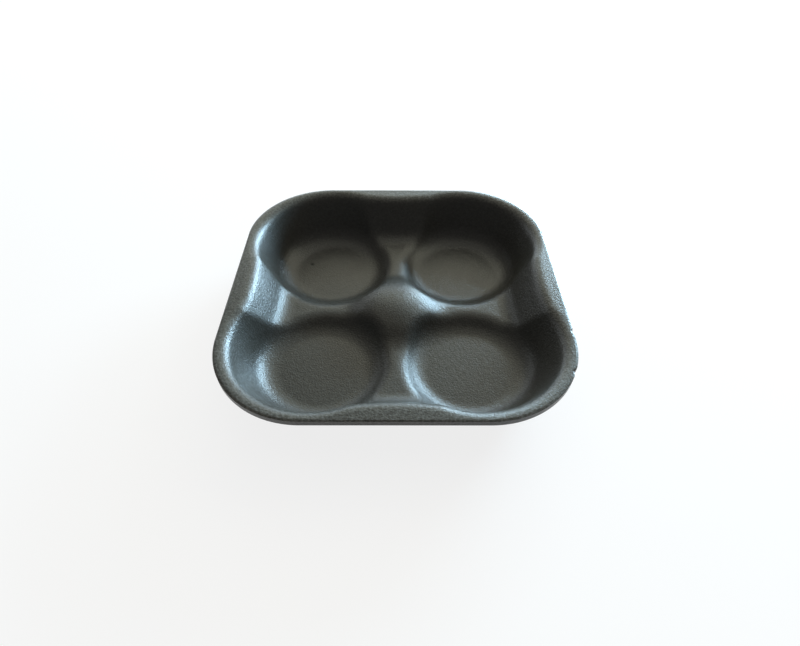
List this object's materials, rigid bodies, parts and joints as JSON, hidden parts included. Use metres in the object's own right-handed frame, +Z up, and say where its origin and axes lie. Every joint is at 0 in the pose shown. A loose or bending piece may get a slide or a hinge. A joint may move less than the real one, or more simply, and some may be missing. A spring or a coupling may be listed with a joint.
{
  "type": "foam fruit tray",
  "caption": "Shallow square foam tray with rounded corners, round flat-bottomed fruit pockets, low ridges between them, a low middle peak and a flat rim.",
  "frame": {"origin": "centre of the tray on the plane that the pocket bottoms rest on", "axes": "+Z up, out of the open top; X and Y along the sides"},
  "size_m": [0.18, 0.18, 0.032],
  "materials": {
    "foam": "satin"
  },
  "bodies": {
    "root": {"tray": "foam"}
  },
  "joints": []
}
